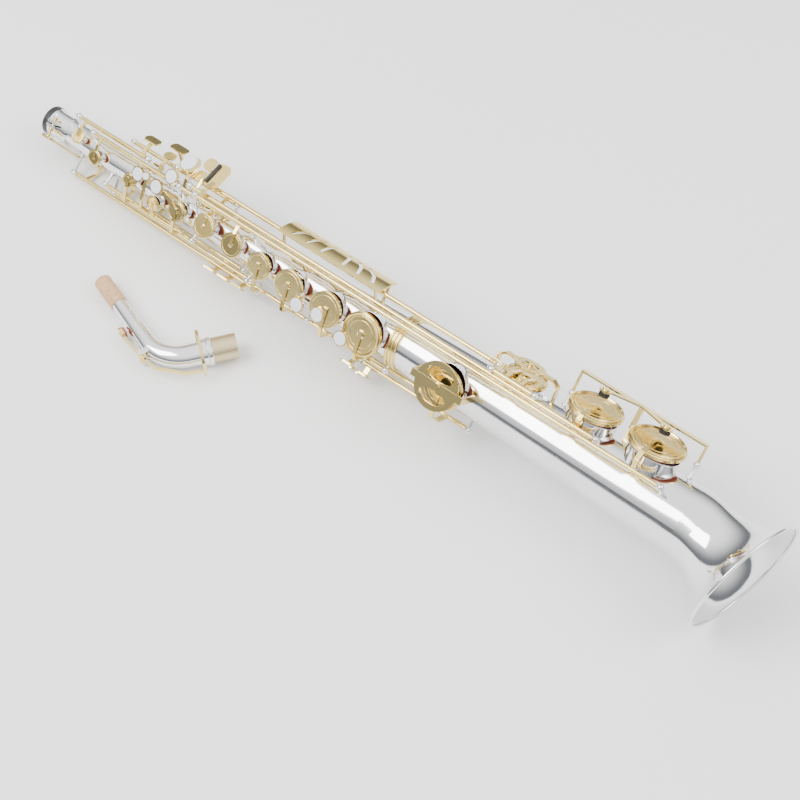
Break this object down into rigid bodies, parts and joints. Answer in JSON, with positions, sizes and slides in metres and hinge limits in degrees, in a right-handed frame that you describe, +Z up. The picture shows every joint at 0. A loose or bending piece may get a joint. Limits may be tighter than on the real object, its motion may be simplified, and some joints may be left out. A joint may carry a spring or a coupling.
{
  "type": "straight alto saxophone",
  "caption": "Straight conical saxophone body with a flared, slightly tipped bell, lever keys with padded cups on long rods, guards, and a detached curved neck.",
  "frame": {"origin": "middle of the bounding box at floor level", "axes": "+Z up, +X from the top of the receiver towards the bell, +Y to the side away from the detached neck"},
  "size_m": [0.8729, 0.2076, 0.1219],
  "materials": {
    "silver_plate": "bright silver plate, mirror polished",
    "gold_lacquer": "gold lacquer, polished",
    "bare_brass": "dull unlacquered brass",
    "steel": "ground steel rod",
    "pad_leather": "dark red-brown pad skin",
    "pearl": "pale nacre",
    "black_plastic": "moulded, lightly worn",
    "black_felt": "pressed felt",
    "cork": "natural cork"
  },
  "bodies": {
    "horn": {"body_tube": "silver_plate", "bell": "silver_plate", "bell_rim": "silver_plate", "body_ring": "gold_lacquer", "neck_receiver": "silver_plate", "key_posts": "silver_plate", "pivot_rods": "steel", "bell_key_guard": "gold_lacquer", "low_c_guard": "gold_lacquer", "low_c_sharp_guard": "gold_lacquer", "side_guard": "gold_lacquer", "guard_bumpers": "black_felt", "thumb_hook": "gold_lacquer", "thumb_rest": "silver_plate", "strap_ring": "gold_lacquer"},
    "low_b_flat_key": {"low_b_flat_key": "gold_lacquer", "low_b_flat_pad": "pad_leather"},
    "low_b_key": {"low_b_key": "gold_lacquer", "low_b_pad": "pad_leather"},
    "low_c_key": {"low_c_key": "gold_lacquer", "low_c_pad": "pad_leather"},
    "d_key": {"d_key": "gold_lacquer", "d_pad": "pad_leather", "d_pearl": "pearl"},
    "e_key": {"e_key": "gold_lacquer", "e_pad": "pad_leather", "e_pearl": "pearl"},
    "f_key": {"f_key": "gold_lacquer", "f_pad": "pad_leather", "f_pearl": "pearl"},
    "f_sharp_key": {"f_sharp_key": "gold_lacquer", "f_sharp_pad": "pad_leather"},
    "g_key": {"g_key": "gold_lacquer"},
    "a_key": {"a_key": "gold_lacquer"},
    "bis_key": {"bis_key": "gold_lacquer"},
    "c_key": {"c_key": "gold_lacquer"},
    "g_sharp_key": {"g_sharp_key": "gold_lacquer", "g_sharp_pearl": "pearl"},
    "low_c_sharp_key": {"low_c_sharp_key": "gold_lacquer", "low_c_sharp_pad": "pad_leather"},
    "low_e_flat_key": {"low_e_flat_key": "gold_lacquer"},
    "palm_d_key": {"palm_d_key": "gold_lacquer"},
    "palm_e_flat_key": {"palm_e_flat_key": "gold_lacquer"},
    "palm_f_key": {"palm_f_key": "gold_lacquer"},
    "side_e_key": {"side_e_key": "gold_lacquer"},
    "side_c_key": {"side_c_key": "gold_lacquer"},
    "side_b_flat_key": {"side_b_flat_key": "gold_lacquer"},
    "octave_key": {"octave_key": "gold_lacquer"},
    "low_c_sharp_lever": {"low_c_sharp_lever": "gold_lacquer"},
    "clamp_screw": {"clamp_screw": "gold_lacquer"},
    "end_plug": {"end_plug": "black_plastic"},
    "neck": {"neck_tube": "silver_plate", "neck_cork": "cork", "neck_tenon": "bare_brass", "neck_collar": "silver_plate", "neck_pivot": "silver_plate"},
    "neck_octave_key": {"neck_octave_key": "gold_lacquer", "neck_octave_pad": "pad_leather"}
  },
  "joints": [
    {"name": "low_b_flat_press", "type": "hinge", "parent": "horn", "child": "low_b_flat_key", "pos_m": [0.05697, 0.04046, 0.09253], "axis": [-0.9989, 0, -0.0479], "range_deg": [0, 9], "stiffness_Nm_per_rad": 0.02, "springref_deg": -6.88},
    {"name": "low_b_press", "type": "hinge", "parent": "horn", "child": "low_b_key", "pos_m": [0.0141, 0.04743, 0.08883], "axis": [-0.9989, 0, -0.0479], "range_deg": [0, 9], "stiffness_Nm_per_rad": 0.02, "springref_deg": -6.88},
    {"name": "low_c_press", "type": "hinge", "parent": "horn", "child": "low_c_key", "pos_m": [0.0723, 0.02588, 0.02336], "axis": [-0.9989, 0, -0.0479], "range_deg": [0, 6], "stiffness_Nm_per_rad": 0.02, "springref_deg": -6.88},
    {"name": "d_press", "type": "hinge", "parent": "horn", "child": "d_key", "pos_m": [0.01461, 0.02179, 0.03649], "axis": [-0.9989, 0, -0.0479], "range_deg": [0, 7], "stiffness_Nm_per_rad": 0.02, "springref_deg": -6.88},
    {"name": "e_press", "type": "hinge", "parent": "horn", "child": "e_key", "pos_m": [-0.03034, 0.02179, 0.03434], "axis": [-0.9989, 0, -0.0479], "range_deg": [0, 7], "stiffness_Nm_per_rad": 0.02, "springref_deg": -6.88},
    {"name": "f_press", "type": "hinge", "parent": "horn", "child": "f_key", "pos_m": [-0.07829, 0.02179, 0.03204], "axis": [-0.9989, 0, -0.0479], "range_deg": [0, 7], "stiffness_Nm_per_rad": 0.02, "springref_deg": -6.88},
    {"name": "f_sharp_press", "type": "hinge", "parent": "horn", "child": "f_sharp_key", "pos_m": [-0.11425, 0.02179, 0.03032], "axis": [-0.9989, 0, -0.0479], "range_deg": [0, 7], "stiffness_Nm_per_rad": 0.02, "springref_deg": -6.88},
    {"name": "g_press", "type": "hinge", "parent": "horn", "child": "g_key", "pos_m": [-0.22214, 0.06363, 0.06738], "axis": [0.9989, 0, 0.0479], "range_deg": [0, 6], "stiffness_Nm_per_rad": 0.02, "springref_deg": -6.88},
    {"name": "a_press", "type": "hinge", "parent": "horn", "child": "a_key", "pos_m": [-0.2312, 0.02583, 0.02663], "axis": [-0.9989, 0, -0.0479], "range_deg": [0, 6], "stiffness_Nm_per_rad": 0.02, "springref_deg": -6.88},
    {"name": "bis_press", "type": "hinge", "parent": "horn", "child": "bis_key", "pos_m": [-0.26516, 0.02583, 0.02501], "axis": [-0.9989, 0, -0.0479], "range_deg": [0, 6], "stiffness_Nm_per_rad": 0.02, "springref_deg": -6.88},
    {"name": "c_press", "type": "hinge", "parent": "horn", "child": "c_key", "pos_m": [-0.30612, 0.02583, 0.02304], "axis": [-0.9989, 0, -0.0479], "range_deg": [0, 6], "stiffness_Nm_per_rad": 0.02, "springref_deg": -6.88},
    {"name": "g_sharp_press", "type": "hinge", "parent": "horn", "child": "g_sharp_key", "pos_m": [-0.19137, 0.04391, 0.07285], "axis": [-0.9989, 0, -0.0479], "range_deg": [0, 7], "stiffness_Nm_per_rad": 0.02, "springref_deg": -6.88},
    {"name": "low_c_sharp_press", "type": "hinge", "parent": "horn", "child": "low_c_sharp_key", "pos_m": [0.16658, 0.04797, 0.10334], "axis": [0.9989, 0, 0.0479], "range_deg": [0, 8], "stiffness_Nm_per_rad": 0.02, "springref_deg": -6.88},
    {"name": "low_e_flat_press", "type": "hinge", "parent": "horn", "child": "low_e_flat_key", "pos_m": [0.04045, 0.03543, 0.01944], "axis": [-0.9989, 0, -0.0479], "range_deg": [0, 8], "stiffness_Nm_per_rad": 0.02, "springref_deg": -6.88},
    {"name": "palm_d_press", "type": "hinge", "parent": "horn", "child": "palm_d_key", "pos_m": [-0.30191, 0.07731, 0.03977], "axis": [0.9989, 0, 0.0479], "range_deg": [0, 8], "stiffness_Nm_per_rad": 0.02, "springref_deg": -6.88},
    {"name": "palm_e_flat_press", "type": "hinge", "parent": "horn", "child": "palm_e_flat_key", "pos_m": [-0.31292, 0.04756, 0.06048], "axis": [-0.9989, 0, -0.0479], "range_deg": [0, 8], "stiffness_Nm_per_rad": 0.02, "springref_deg": -6.88},
    {"name": "palm_f_press", "type": "hinge", "parent": "horn", "child": "palm_f_key", "pos_m": [-0.34487, 0.0555, 0.05871], "axis": [-0.9989, 0, -0.0479], "range_deg": [0, 8], "stiffness_Nm_per_rad": 0.02, "springref_deg": -6.88},
    {"name": "side_e_press", "type": "hinge", "parent": "horn", "child": "side_e_key", "pos_m": [-0.25258, 0.0248, 0.01307], "axis": [-0.9989, 0, -0.0479], "range_deg": [0, 8], "stiffness_Nm_per_rad": 0.02, "springref_deg": -6.88},
    {"name": "side_c_press", "type": "hinge", "parent": "horn", "child": "side_c_key", "pos_m": [-0.23539, 0.03288, 0.00961], "axis": [-0.9989, 0, -0.0479], "range_deg": [0, 8], "stiffness_Nm_per_rad": 0.02, "springref_deg": -6.88},
    {"name": "side_b_flat_press", "type": "hinge", "parent": "horn", "child": "side_b_flat_key", "pos_m": [-0.22423, 0.04067, 0.00647], "axis": [-0.9989, 0, -0.0479], "range_deg": [0, 8], "stiffness_Nm_per_rad": 0.02, "springref_deg": -6.88},
    {"name": "octave_press", "type": "hinge", "parent": "horn", "child": "octave_key", "pos_m": [-0.34154, 0.06532, 0.01015], "axis": [0.9989, 0, 0.0479], "range_deg": [0, 5], "stiffness_Nm_per_rad": 0.02, "springref_deg": -6.88},
    {"name": "low_c_sharp_lever_press", "type": "hinge", "parent": "horn", "child": "low_c_sharp_lever", "pos_m": [-0.04874, 0.06119, 0.08395], "axis": [0.9989, 0, 0.0479], "range_deg": [0, 8], "stiffness_Nm_per_rad": 0.02, "springref_deg": -6.88},
    {"name": "clamp_screw_turn", "type": "hinge", "parent": "horn", "child": "clamp_screw", "pos_m": [-0.419, 0.0356, 0.03878], "axis": [0.032, -0.7431, -0.6684], "range_deg": [0, 360]},
    {"name": "end_plug_pull", "type": "slide", "parent": "horn", "child": "end_plug", "axis": [-0.9989, 0, -0.0479], "range_m": [0, 0.03]},
    {"name": "neck_lift", "type": "slide", "parent": "horn", "child": "neck", "axis": [0, 0, 1], "range_m": [0, 0.15]},
    {"name": "neck_octave_press", "type": "hinge", "parent": "neck", "child": "neck_octave_key", "pos_m": [-0.15761, -0.10118, 0.01251], "axis": [-0.0375, 0, 0.9993], "range_deg": [0, 4], "stiffness_Nm_per_rad": 0.02, "springref_deg": -6.88}
  ],
  "couplings": [
    {"joint": "f_sharp_press", "follows": "f_press", "ratio": 1},
    {"joint": "low_c_sharp_press", "follows": "low_c_sharp_lever_press", "ratio": 1}
  ]
}
